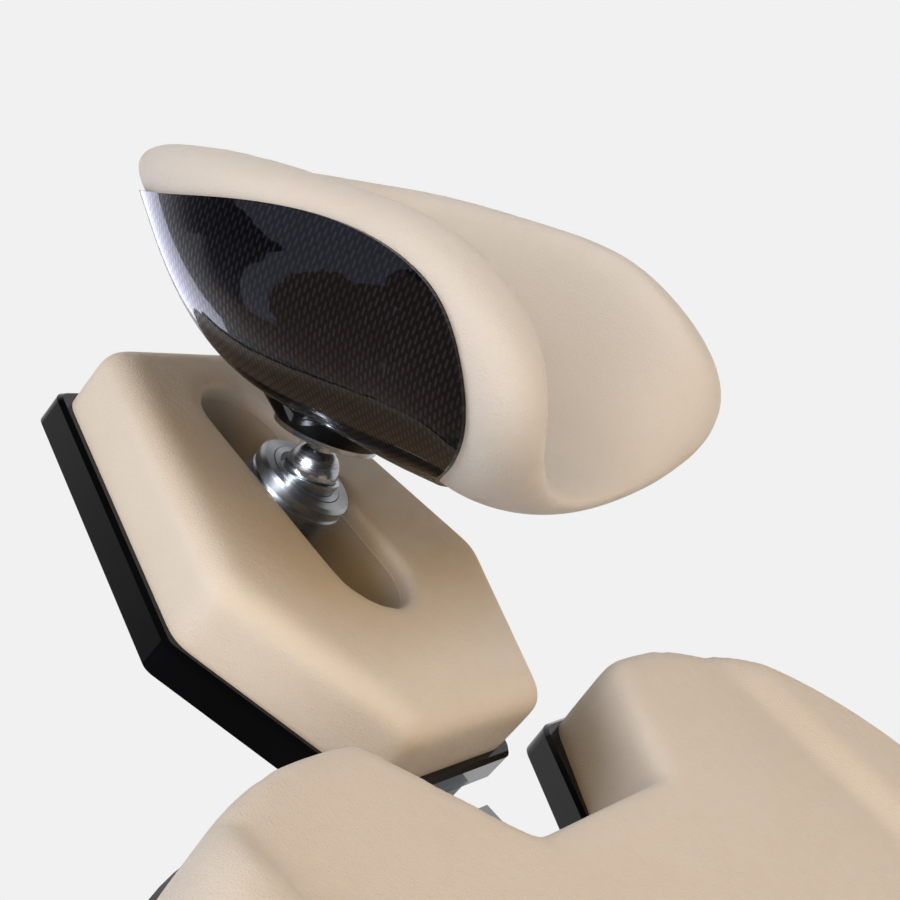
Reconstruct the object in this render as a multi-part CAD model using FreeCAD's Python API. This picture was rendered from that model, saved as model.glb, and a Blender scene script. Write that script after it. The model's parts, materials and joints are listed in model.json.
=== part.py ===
import FreeCAD
import Part

import math
import os

# Ophthalmic surgery table: a wheeled base with a lift column carries a seat, a leg section and a backrest,
# and the backrest carries a sliding head plate with a headrest on a ball joint.
# Millimetres. X points to the patient's left, Y to the head, Z up. The table is modelled with the column's
# axis at X = Y = 0 and is then moved so that the origin is on the floor under the middle of its outline.

# Clearances
SEAT_GAP = 0.3            # between pieces that rest on each other but move apart
RUNNING_GAP = 0.05        # radial, a shaft turning in its bore
FIXED_GAP = 0.02          # radial, a shaft held in its bore
BALL_GAP = 0.3            # between spherical faces

# Castors and base
WHEEL_RADIUS = 50.0
TYRE_THICKNESS = 12.0
WHEEL_WIDTH = 32.0
WHEEL_SIDE_GAP = 2.0      # from wheel to fork cheek
WHEEL_TOP_GAP = 6.0       # from tyre to fork crown
FORK_CHEEK = 5.0
FORK_CROWN = 6.0
FORK_HALF_LENGTH = 22.0
AXLE_RADIUS = 6.0
CASTOR_TRAIL = 32.0
SWIVEL_RADIUS = 8.0
SWIVEL_LENGTH = 34.0
CASTOR_SIDE_INSET = 55.0  # swivel axis from the side of the base
CASTOR_END_INSET = 65.0   # swivel axis from the end of the base

BASE_HALF_WIDTH = 280.0
BASE_HALF_LENGTH = 450.0
BASE_PLATE = 12.0
BASE_CORNER = 60.0
CASTOR_BOSS_RADIUS = 18.0
COVER_WALL = 4.0
COVER_HEIGHT = 92.0
COVER_SKIRT = 10.0        # how far the skirt hangs below the top of the base plate
COVER_ROUND = 22.0
COVER_COLUMN_GAP = 1.0

INLET_HALF_WIDTH = 26.0
INLET_HEIGHT = 32.0
INLET_DEPTH = 10.0
INLET_WALL = 5.0
INLET_RISE = 30.0         # above the base plate
INLET_PITCH = 7.0
INLET_BLADE = 2.0

PEDAL_SHAFT_RADIUS = 8.0
PEDAL_SHAFT_HALF = 110.0
PEDAL_OUT = 30.0          # shaft beyond the end of the base plate
PEDAL_DROP = 20.0         # shaft below the base plate
PEDAL_ARM = 95.0
PEDAL_HALF_WIDTH = 55.0
PEDAL_THICKNESS = 8.0
PEDAL_TREAD = 45.0
PEDAL_LUG = 12.0
PEDAL_LUG_WALL = 7.0

# Lift column
COLUMN_X = 200.0
COLUMN_Y = 160.0
COLUMN_WALL = 5.0
COLUMN_FLANGE = 26.0
COLUMN_FLANGE_THICKNESS = 10.0
COLUMN_ROUND = 18.0
GLIDE_THICKNESS = 5.0
GLIDE_HEIGHT = 60.0
INNER_WALL = 4.0
INNER_FOOT_GAP = 16.0
LIFT_TRAVEL = 180.0
LIFT_OVERLAP = 40.0       # of the tubes at full height
DRIVE_WALL = 12.0
DRIVE_FLOOR = 4.0
SCREW_RADIUS = 15.0
SCREW_OVERLAP = 20.0

# Tilting seat
SEAT_HEIGHT = 560.0       # top of the cushion with the lift at its lowest
HEAD_PLATE_THICKNESS = 12.0
TILT_SHAFT_RADIUS = 12.0
TILT_LUG_RADIUS = 20.0
TILT_LUG_WIDTH = 18.0
TILT_LUG_GAP = 1.0
TILT_DROP = 30.0          # tilt axis below the seat frame
TILT_RISE = 18.0          # tilt axis above the column head
SEAT_FRAME = 12.0
SEAT_FRAME_HALF_WIDTH = 210.0

# Upholstered sections
BED_HALF_WIDTH = 310.0
TRAY = 16.0
TRAY_EDGE = 2.0
CUSHION = 44.0
CUSHION_INSET = 6.0
CUSHION_BEVEL = 10.0
SECTION_GAP = 4.0         # from a hinge axis to the end of a section
SECTION_CORNER = 30.0
SEAT_LENGTH = 470.0

# Backrest
BACK_ANGLE = 40.0
BACK_LENGTH = 620.0
BACK_AXIS_DROP = 28.0     # hinge axis below the top of the cushions
BACK_WEDGE = 35.0         # slope of the cushion ends that face each other
SHOULDER_RADIUS = 173.0
NOTCH_MOUTH_HALF = 103.0
NOTCH_FLOOR_HALF = 58.0
NOTCH_DEPTH = 65.0
NOTCH_MOUTH_RADIUS = 14.0
NOTCH_FLOOR_RADIUS = 13.0
BOLSTER_RISE = 11.5       # side bolsters above the middle of the backrest
BOLSTER_FOOT = 204.0      # half width of the level middle
BOLSTER_SLOPE = 17.0      # width of the slope up to a bolster
BACK_PIN_RADIUS = 10.0
HINGE_PLATE = 6.0
HINGE_PLATE_GAP = 1.0
HINGE_EYE_RADIUS = 22.0
HINGE_BEAM = 40.0
ARM_TAB_START = 120.0
ARM_TAB_END = 200.0
BACK_PLATE = 8.0
BACK_PLATE_END = 400.0
BACK_DRIVE_RADIUS = 36.0
BACK_DRIVE_WIDTH = 14.0

# Side rails
RAIL_HEIGHT = 25.0
RAIL_THICKNESS = 10.0
RAIL_STANDOFF = 12.0
RAIL_SPACER_RADIUS = 9.0
RAIL_FRONT_MARGIN = 40.0
RAIL_REAR_MARGIN = 90.0
RAIL_SPACER_INSET = 50.0

# Leg section
LEG_ANGLE = 20.0          # below the seat's level
LEG_LENGTH = 560.0
LEG_AXIS_DROP = 14.0      # hinge axis below the trays
LEG_SHAFT_RADIUS = 10.0
LEG_EYE_RADIUS = 14.0
LEG_LUG_WIDTH = 18.0
LEG_LUG_GAP = 1.0
LEG_LUG_X = 120.0         # inner face of the seat's lugs
LEG_PLATE = 8.0
LEG_PLATE_LENGTH = 320.0
LEG_DRIVE_RADIUS = 27.0
LEG_DRIVE_HALF = 70.0
LEG_DRIVE_ROOM = 6.0      # from the drive to the end of the leg tray

# Head slide
ROD_RADIUS = 8.0
ROD_HALF_SPAN = 45.0
ROD_DROP = 26.0           # below the backrest tray
ROD_LENGTH = 340.0
GUIDE_START = 100.0       # guide block's ends, back from the floor of the notch
GUIDE_END = 20.0
GUIDE_WALL = 12.0
BUSH_WALL = 2.5
BUSH_LENGTH = 26.0
HEAD_AXIS_OUT = 3.5       # head hinge beyond the end of the backrest
HEAD_AXIS_DROP = 12.0     # head hinge below the backrest tray
YOKE_START = 50.0         # yoke's ends, back from the head hinge
YOKE_END = 18.0
YOKE_HALF_WIDTH = 62.0
YOKE_WALL = 4.0
KNUCKLE_HALF = 26.0
KNUCKLE_RADIUS = 9.0
HEAD_PIN_RADIUS = 5.0
HEAD_LUG_WIDTH = 11.0
HEAD_LUG_GAP = 0.5
LOCK_STUD_RADIUS = 5.0
LOCK_STUD_LENGTH = 12.0
LOCK_HUB_RADIUS = 13.0
LOCK_HUB_HEIGHT = 14.0
LOCK_ARM = 75.0
LOCK_ARM_HALF_WIDTH = 6.0

# Head plate
PLATE_TILT = 4.3          # above the line of the backrest
PLATE_HALF_WIDTH = 108.0
PLATE_HEAD_HALF = 58.5
PLATE_NECK_HALF = 57.5
PLATE_HEAD_LENGTH = 144.5
PLATE_NECK_LENGTH = 94.0
PLATE_CORNER = 8.0
PLATE_CUSHION = 36.0
PLATE_CUSHION_CORNER = 11.0
PLATE_BEVEL = 7.0
HEAD_AXIS_V = 83.0        # head hinge from the plate's widest line
HEAD_AXIS_N = 14.0        # head hinge below the plate
SLOT_HALF = 28.0
SLOT_NECK = 26.5
SLOT_HEAD = 114.0
TRACK = 4.0
TRACK_RIM = 10.0
BRACKET = 4.0
BRACKET_START = 50.0
BRACKET_END = 92.0
BRACKET_HALF_WIDTH = 46.0

# Ball joint
SOCKET_V = 49.5           # socket from the plate's widest line
SOCKET_RADIUS = 24.0
SOCKET_RIM = 55.5         # top of the rim ring above the plate's underside
RIM_HEIGHT = 6.0
RIM_GAP = 0.4
SOCKET_EDGE = 1.6
COLLAR_RADIUS = 17.4
COLLAR_DROP = 3.4         # top of the collar below the middle of the ball
BALL_N = 59.2             # middle of the ball above the plate's underside
BALL_RADIUS = 12.5
LINER_WALL = 1.8
LINER_TOP_DROP = 2.4      # liner's ends below the middle of the ball
LINER_FOOT_DROP = 9.6
STUD_RADIUS = 5.0
STUD_SIDE_GAP = 0.6
STUD_LENGTH = 30.0
KNOB_RADIUS = 21.0
KNOB_HEIGHT = 17.0
KNOB_LOBES = 6
KNOB_LOBE_RADIUS = 6.0
STEM_RADIUS = 6.6
FLANGE_RADIUS = 24.5
FLANGE = 2.5
FLANGE_TOP = 19.7         # above the middle of the ball
PIVOT_RADIUS = 4.0
PIVOT_LENGTH = 4.5

# Headrest, in its own frame: v towards the head and w along the stem, from the middle of the ball
HEADREST_TILT = 18.5      # from the socket's axis, towards the head
HEADREST_SECTIONS = [     # v, half width, lowest w, highest w
    (-138.0, 82.0, 63.0, 95.0), (-131.5, 96.0, 49.0, 107.0), (-116.5, 103.5, 37.5, 120.5),
    (-89.5, 107.5, 32.0, 134.5), (-54.0, 108.0, 29.0, 142.5), (0.0, 108.0, 27.5, 136.5),
    (40.0, 102.5, 33.5, 129.5), (70.0, 90.0, 53.0, 120.5), (90.0, 77.0, 69.5, 114.0),
    (105.0, 61.5, 81.5, 107.5), (117.0, 44.0, 88.0, 100.5), (124.0, 27.0, 91.0, 96.0),
]
HEADREST_WIDEST = 0.76    # level of the greatest width, as a part of the height
BOTTOM_SQUARENESS = 2.2
HEAD_END_SQUARENESS = 1.5
TOP_SQUARENESS = 3.5
TROUGH_TOP = 143.0        # level where the hollow is widest
TROUGH_SECTIONS = [       # v, half width, lowest w
    (-155.0, 130.0, 45.0), (-137.0, 98.0, 48.0), (-122.0, 80.0, 51.5), (-106.0, 73.0, 55.0),
    (-80.0, 72.0, 59.0), (-41.5, 74.0, 61.5),
    (8.5, 73.0, 64.0), (45.5, 68.0, 71.0), (75.0, 53.0, 82.0), (97.0, 32.0, 96.0),
]
SECTION_POINTS = 24
SHELL_WALL = 3.5
SHELL_GAP = 0.3
SHELL_EDGE = [            # v and w of the edge, from the head end to the underside
    (145.0, 74.0), (98.0, 88.0), (60.0, 98.0), (-47.5, 124.5), (-86.5, 115.5),
    (-105.5, 95.5), (-111.5, 75.0), (-103.0, 55.0), (-83.0, 36.5), (-70.5, 12.5),
]
SHELL_BOSS_FOOT = 25.5    # radius of the boss at the flange, and where it runs into the shell
SHELL_BOSS_RADIUS = 40.0
SHELL_BOSS_TOP = 33.0

# Heights, worked out from the floor up
CROWN_TOP = 2 * WHEEL_RADIUS + WHEEL_TOP_GAP + FORK_CROWN
BASE_BOTTOM = CROWN_TOP + SEAT_GAP
BASE_TOP = BASE_BOTTOM + BASE_PLATE
INNER_BOTTOM = BASE_TOP + INNER_FOOT_GAP
OUTER_TOP = INNER_BOTTOM + LIFT_TRAVEL + LIFT_OVERLAP
SCREW_BOTTOM = BASE_TOP + DRIVE_FLOOR + SEAT_GAP
DRIVE_TOP = SCREW_BOTTOM + LIFT_TRAVEL + SCREW_OVERLAP
COVER_TOP = BASE_TOP + COVER_HEIGHT

# Heights, worked out from the seat down
SEAT_TRAY_TOP = SEAT_HEIGHT - CUSHION
SEAT_TRAY_BOTTOM = SEAT_TRAY_TOP - TRAY
SEAT_FRAME_BOTTOM = SEAT_TRAY_BOTTOM - SEAT_FRAME
TILT_Z = SEAT_FRAME_BOTTOM - TILT_DROP
COLUMN_HEAD_TOP = TILT_Z - TILT_RISE
INNER_TOP = COLUMN_HEAD_TOP - HEAD_PLATE_THICKNESS
INNER_X = COLUMN_X - 2 * (COLUMN_WALL + GLIDE_THICKNESS)
INNER_Y = COLUMN_Y - 2 * (COLUMN_WALL + GLIDE_THICKNESS)

# Hinges along the bed
BACK_AXIS_Y = SEAT_LENGTH / 3
BACK_AXIS_Z = SEAT_HEIGHT - BACK_AXIS_DROP
SEAT_REAR = BACK_AXIS_Y - SECTION_GAP
SEAT_FRONT = SEAT_REAR - SEAT_LENGTH
LEG_AXIS_Y = SEAT_FRONT - SECTION_GAP
LEG_AXIS_Z = SEAT_TRAY_BOTTOM - LEG_AXIS_DROP

# Levels in the backrest's frame, from its hinge axis
BACK_CUSHION_TOP = BACK_AXIS_DROP
BACK_TRAY_TOP = BACK_CUSHION_TOP - CUSHION
BACK_TRAY_BOTTOM = BACK_TRAY_TOP - TRAY
HEAD_AXIS_BACK_V = BACK_LENGTH + HEAD_AXIS_OUT
HEAD_AXIS_BACK_N = BACK_TRAY_BOTTOM - HEAD_AXIS_DROP
ROD_N = BACK_TRAY_BOTTOM - ROD_DROP
NOTCH_FLOOR_V = BACK_LENGTH - NOTCH_DEPTH
BUSH_RADIUS = ROD_RADIUS + RUNNING_GAP + BUSH_WALL

# Layers of the backrest hinge, outwards from the seat tray
HINGE_INNER_X = BED_HALF_WIDTH + HINGE_PLATE_GAP
ARM_INNER_X = HINGE_INNER_X + HINGE_PLATE + HINGE_PLATE_GAP
ARM_OUTER_X = ARM_INNER_X + HINGE_PLATE
BACK_DRIVE_X = ARM_OUTER_X + HINGE_PLATE_GAP

X_AXIS = FreeCAD.Vector(1, 0, 0)
Y_AXIS = FreeCAD.Vector(0, 1, 0)
Z_AXIS = FreeCAD.Vector(0, 0, 1)
TOLERANCE = 1e-4
SIDES = (-1, 1)
SIDE_NAMES = (("right", -1), ("left", 1))


def frame(y, z, angle):
    """A frame at a hinge, turned about X so that its own Y points along the section."""
    return FreeCAD.Placement(FreeCAD.Vector(0, y, z), FreeCAD.Rotation(X_AXIS, angle))


BACK_FRAME = frame(BACK_AXIS_Y, BACK_AXIS_Z, BACK_ANGLE)
HEAD_HINGE_FRAME = BACK_FRAME.multiply(frame(HEAD_AXIS_BACK_V, HEAD_AXIS_BACK_N, PLATE_TILT))
PLATE_FRAME = HEAD_HINGE_FRAME.multiply(frame(HEAD_AXIS_V, HEAD_AXIS_N, 0))
SOCKET_FRAME = PLATE_FRAME.multiply(frame(SOCKET_V, BALL_N, 0))
HEADREST_FRAME = SOCKET_FRAME.multiply(frame(0, 0, -HEADREST_TILT))
LEG_FRAME = frame(LEG_AXIS_Y, LEG_AXIS_Z, LEG_ANGLE)


def placed(shape, where):
    """The shape moved from a local frame to the table's frame."""
    moved = shape.copy()
    moved.Placement = where.multiply(moved.Placement)
    return moved


def block(x_range, y_range, z_range):
    """A box between two corners."""
    low = FreeCAD.Vector(x_range[0], y_range[0], z_range[0])
    size = (x_range[1] - x_range[0], y_range[1] - y_range[0], z_range[1] - z_range[0])
    return Part.makeBox(size[0], size[1], size[2], low)


def wide_block(half_width, y_range, z_range):
    """A box that is centred across the table."""
    return block((-half_width, half_width), y_range, z_range)


def cross_rod(radius, x_range, y, z):
    """A cylinder along X."""
    return Part.makeCylinder(radius, x_range[1] - x_range[0], FreeCAD.Vector(x_range[0], y, z), X_AXIS)


def upright(radius, z_range, x=0.0, y=0.0):
    """A cylinder along Z."""
    return Part.makeCylinder(radius, z_range[1] - z_range[0], FreeCAD.Vector(x, y, z_range[0]), Z_AXIS)


def joined(pieces):
    """One solid from overlapping pieces."""
    return pieces[0].multiFuse(pieces[1:]).removeSplitter()


def outline(points, radii):
    """A closed flat wire through points, each corner rounded by its own radius."""
    corners = [FreeCAD.Vector(x, y, 0) for x, y in points]
    count = len(corners)
    stops = []
    for index, corner in enumerate(corners):
        to_last = (corners[index - 1] - corner).normalize()
        to_next = (corners[(index + 1) % count] - corner).normalize()
        half = to_last.getAngle(to_next) / 2
        reach = radii[index] / math.tan(half)
        middle = corner + (to_last + to_next).normalize() * (radii[index] / math.sin(half) - radii[index])
        stops.append((corner + to_last * reach, middle, corner + to_next * reach))
    edges = []
    for index, (start, middle, end) in enumerate(stops):
        last_end = stops[index - 1][2]
        if last_end.distanceToPoint(start) > TOLERANCE:
            edges.append(Part.LineSegment(last_end, start).toShape())
        edges.append(Part.Arc(start, middle, end).toShape())
    return Part.Wire(edges)


def slab(points, radii, z_range):
    """A flat plate with the given outline."""
    plate = Part.Face(outline(points, radii)).extrude(FreeCAD.Vector(0, 0, z_range[1] - z_range[0]))
    plate.translate(FreeCAD.Vector(0, 0, z_range[0]))
    return plate


def rectangle(half_width, y_range):
    """Corner points of a rectangle that is centred across the table."""
    start, end = y_range
    return [(-half_width, start), (half_width, start), (half_width, end), (-half_width, end)]


def slot_block(half_width, start, end, z_range):
    """A stadium along Y, from one round end to the other."""
    centres = (start + half_width, end - half_width)
    ends = [upright(half_width, z_range, y=centre) for centre in centres]
    return joined(ends + [wide_block(half_width, centres, z_range)])


def level_edges(shape, z):
    """The edges of a shape that lie at one height."""
    edges = []
    for edge in shape.Edges:
        if max(abs(edge.BoundBox.ZMin - z), abs(edge.BoundBox.ZMax - z)) < TOLERANCE:
            edges.append(edge)
    return edges


def bevelled(shape, z, size):
    """The shape with its edges at one height bevelled."""
    return shape.makeChamfer(size, level_edges(shape, z))


def side_plate(x_range, points):
    """A flat plate that stands along the table, with its outline in the Y and Z plane."""
    corners = [FreeCAD.Vector(x_range[0], y, z) for y, z in points]
    face = Part.Face(Part.makePolygon(corners + corners[:1]))
    return face.extrude(FreeCAD.Vector(x_range[1] - x_range[0], 0, 0))


def castor_centres():
    """Name and swivel axis of each castor."""
    centres = []
    for y_name, y_side in (("foot", -1), ("head", 1)):
        for x_name, x_side in SIDE_NAMES:
            x = x_side * (BASE_HALF_WIDTH - CASTOR_SIDE_INSET)
            y = y_side * (BASE_HALF_LENGTH - CASTOR_END_INSET)
            centres.append((f"{y_name}_{x_name}", x, y))
    return centres


def castor(name, x, y):
    """A trailing castor: fork with its swivel pin and axle, wheel and tyre."""
    cheek_inner = WHEEL_WIDTH / 2 + WHEEL_SIDE_GAP
    cheek_outer = cheek_inner + FORK_CHEEK
    axle_y = y - CASTOR_TRAIL
    crown_bottom = CROWN_TOP - FORK_CROWN
    fork = [
        block((x - cheek_outer, x + cheek_outer), (axle_y - FORK_HALF_LENGTH / 2, y + FORK_HALF_LENGTH),
              (crown_bottom, CROWN_TOP)),
        upright(SWIVEL_RADIUS, (CROWN_TOP, CROWN_TOP + SWIVEL_LENGTH), x, y),
        cross_rod(AXLE_RADIUS, (x - cheek_outer, x + cheek_outer), axle_y, WHEEL_RADIUS),
    ]
    for side in SIDES:
        faces = sorted((x + side * cheek_inner, x + side * cheek_outer))
        fork.append(block(faces, (axle_y - FORK_HALF_LENGTH / 2, axle_y + FORK_HALF_LENGTH / 2),
                          (WHEEL_RADIUS, crown_bottom)))
        fork.append(cross_rod(FORK_HALF_LENGTH / 2, faces, axle_y, WHEEL_RADIUS))
    span = (x - WHEEL_WIDTH / 2, x + WHEEL_WIDTH / 2)
    hub_radius = WHEEL_RADIUS - TYRE_THICKNESS
    hub = cross_rod(hub_radius, span, axle_y, WHEEL_RADIUS)
    hub = hub.cut(cross_rod(AXLE_RADIUS + RUNNING_GAP, span, axle_y, WHEEL_RADIUS))
    tyre = cross_rod(WHEEL_RADIUS, span, axle_y, WHEEL_RADIUS)
    tyre = tyre.cut(cross_rod(hub_radius, span, axle_y, WHEEL_RADIUS))
    return {
        f"castor_fork_{name}": joined(fork),
        f"castor_wheel_{name}": hub,
        f"castor_tyre_{name}": tyre,
    }


def pedal_axis():
    """Y and Z of the brake pedal's shaft."""
    return -BASE_HALF_LENGTH - PEDAL_OUT, BASE_BOTTOM - PEDAL_DROP


def base_frame():
    """The base plate with castor bosses and the two lugs of the brake pedal."""
    outer = rectangle(BASE_HALF_WIDTH, (-BASE_HALF_LENGTH, BASE_HALF_LENGTH))
    pieces = [slab(outer, [BASE_CORNER] * 4, (BASE_BOTTOM, BASE_TOP))]
    for _, x, y in castor_centres():
        pieces.append(upright(CASTOR_BOSS_RADIUS, (BASE_BOTTOM, CROWN_TOP + SWIVEL_LENGTH), x, y))
    shaft_y, shaft_z = pedal_axis()
    lug_radius = PEDAL_SHAFT_RADIUS + PEDAL_LUG_WALL
    for side in SIDES:
        lug_x = sorted((side * (PEDAL_SHAFT_HALF - PEDAL_LUG), side * PEDAL_SHAFT_HALF))
        pieces.append(cross_rod(lug_radius, lug_x, shaft_y, shaft_z))
        pieces.append(side_plate(lug_x, [
            (shaft_y, shaft_z - lug_radius), (-BASE_HALF_LENGTH + 2 * lug_radius, BASE_BOTTOM),
            (-BASE_HALF_LENGTH + lug_radius, BASE_TOP), (-BASE_HALF_LENGTH, BASE_BOTTOM),
            (shaft_y, shaft_z + lug_radius),
        ]))
    frame_shape = joined(pieces)
    for _, x, y in castor_centres():
        bore = (BASE_BOTTOM, CROWN_TOP + SWIVEL_LENGTH)
        frame_shape = frame_shape.cut(upright(SWIVEL_RADIUS + RUNNING_GAP, bore, x, y))
    shaft_x = (-PEDAL_SHAFT_HALF, PEDAL_SHAFT_HALF)
    return frame_shape.cut(cross_rod(PEDAL_SHAFT_RADIUS + RUNNING_GAP, shaft_x, shaft_y, shaft_z))


def brake_pedal():
    """The pedal's shaft, arm and tread."""
    shaft_y, shaft_z = pedal_axis()
    tread_y = shaft_y - PEDAL_ARM
    half_thickness = PEDAL_THICKNESS / 2
    level = (shaft_z - half_thickness, shaft_z + half_thickness)
    return joined([
        cross_rod(PEDAL_SHAFT_RADIUS, (-PEDAL_SHAFT_HALF, PEDAL_SHAFT_HALF), shaft_y, shaft_z),
        wide_block(PEDAL_HALF_WIDTH / 2, (tread_y, shaft_y), level),
        wide_block(PEDAL_HALF_WIDTH, (tread_y, tread_y + PEDAL_TREAD), level),
    ])


def base_cover():
    """The plastic hood over the base plate: a skirt, and a lid with a hole for the column."""
    inner_width = BASE_HALF_WIDTH + SEAT_GAP
    inner_length = BASE_HALF_LENGTH + SEAT_GAP
    bottom = BASE_TOP - COVER_SKIRT
    outer_length = inner_length + COVER_WALL
    outer = slab(rectangle(inner_width + COVER_WALL, (-outer_length, outer_length)),
                 [BASE_CORNER + COVER_WALL] * 4, (bottom, COVER_TOP))
    outer = outer.makeFillet(COVER_ROUND, level_edges(outer, COVER_TOP))
    inner = slab(rectangle(inner_width, (-inner_length, inner_length)), [BASE_CORNER] * 4,
                 (bottom, COVER_TOP - COVER_WALL))
    inner = inner.makeFillet(COVER_ROUND - COVER_WALL, level_edges(inner, COVER_TOP - COVER_WALL))
    hole_x = COLUMN_X / 2 + COVER_COLUMN_GAP
    hole_y = COLUMN_Y / 2 + COVER_COLUMN_GAP
    hole = slab(rectangle(hole_x, (-hole_y, hole_y)), [COLUMN_ROUND + COVER_COLUMN_GAP] * 4,
                (bottom, COVER_TOP))
    hood = outer.cut(inner).cut(hole)
    seam = COVER_TOP - COVER_ROUND
    above = wide_block(2 * inner_width, (-2 * inner_length, 2 * inner_length), (seam, COVER_TOP))
    return {"cover_skirt": hood.cut(above), "cover_lid": hood.common(above)}


def mains_inlet():
    """The mains inlet on the foot end of the cover: an open socket with three blades."""
    face_y = -BASE_HALF_LENGTH - SEAT_GAP - COVER_WALL
    bottom = BASE_TOP + INLET_RISE
    body = wide_block(INLET_HALF_WIDTH, (face_y - INLET_DEPTH, face_y), (bottom, bottom + INLET_HEIGHT))
    floor_y = face_y - INLET_WALL / 2
    mouth = wide_block(INLET_HALF_WIDTH - INLET_WALL, (face_y - INLET_DEPTH, floor_y),
                       (bottom + INLET_WALL, bottom + INLET_HEIGHT - INLET_WALL))
    pieces = [body.cut(mouth)]
    for x in (-INLET_PITCH, 0.0, INLET_PITCH):
        blade_x = (x - INLET_BLADE / 2, x + INLET_BLADE / 2)
        blade_z = (bottom + INLET_HEIGHT / 2 - INLET_BLADE, bottom + INLET_HEIGHT / 2 + INLET_BLADE)
        pieces.append(block(blade_x, (face_y - INLET_DEPTH + INLET_BLADE, floor_y), blade_z))
    return joined(pieces)


def tube(size_x, size_y, wall, corner, z_range):
    """A rectangular tube with round corners."""
    outer = slab(rectangle(size_x / 2, (-size_y / 2, size_y / 2)), [corner] * 4, z_range)
    inner_y = size_y / 2 - wall
    inner = slab(rectangle(size_x / 2 - wall, (-inner_y, inner_y)), [corner - wall] * 4, z_range)
    return outer.cut(inner)


def column_outer():
    """The outer column tube on its flange."""
    body = tube(COLUMN_X, COLUMN_Y, COLUMN_WALL, COLUMN_ROUND, (BASE_TOP, OUTER_TOP))
    flange = tube(COLUMN_X + 2 * COLUMN_FLANGE, COLUMN_Y + 2 * COLUMN_FLANGE, COLUMN_FLANGE + COLUMN_WALL,
                  COLUMN_FLANGE + COLUMN_ROUND, (BASE_TOP, BASE_TOP + COLUMN_FLANGE_THICKNESS))
    return joined([body, flange])


def column_glides():
    """The glide ring in the mouth of the outer tube."""
    bore_x = COLUMN_X - 2 * COLUMN_WALL
    bore_y = COLUMN_Y - 2 * COLUMN_WALL
    return tube(bore_x, bore_y, GLIDE_THICKNESS - SEAT_GAP, COLUMN_ROUND - COLUMN_WALL,
                (OUTER_TOP - GLIDE_HEIGHT, OUTER_TOP))


def lift_drive():
    """The lift drive's housing, closed at its foot."""
    housing = upright(SCREW_RADIUS + DRIVE_WALL, (BASE_TOP, DRIVE_TOP))
    return housing.cut(upright(SCREW_RADIUS + SEAT_GAP, (BASE_TOP + DRIVE_FLOOR, DRIVE_TOP)))


def lift_body():
    """The pieces that rise: inner tube, screw tube, and the column head with the tilt lugs."""
    inner = tube(INNER_X, INNER_Y, INNER_WALL, COLUMN_ROUND - COLUMN_WALL - GLIDE_THICKNESS + SEAT_GAP,
                 (INNER_BOTTOM, INNER_TOP))
    lug_outer = INNER_X / 2
    pieces = [wide_block(lug_outer, (-INNER_Y / 2, INNER_Y / 2), (INNER_TOP, COLUMN_HEAD_TOP))]
    for side in SIDES:
        lug_x = sorted((side * lug_outer, side * (lug_outer - TILT_LUG_WIDTH)))
        pieces.append(cross_rod(TILT_LUG_RADIUS, lug_x, 0, TILT_Z))
        pieces.append(block(lug_x, (-TILT_LUG_RADIUS, TILT_LUG_RADIUS), (COLUMN_HEAD_TOP, TILT_Z)))
    head = joined(pieces)
    head = head.cut(cross_rod(TILT_SHAFT_RADIUS + RUNNING_GAP, (-lug_outer, lug_outer), 0, TILT_Z))
    return {
        "column_inner": inner,
        "column_head": head,
        "lift_screw": upright(SCREW_RADIUS, (SCREW_BOTTOM, INNER_TOP)),
    }


def tilt_lug_range():
    """Inner and outer X of the seat frame's lugs, outside the column head."""
    inner = INNER_X / 2 + TILT_LUG_GAP
    return inner, inner + TILT_LUG_WIDTH


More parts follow.
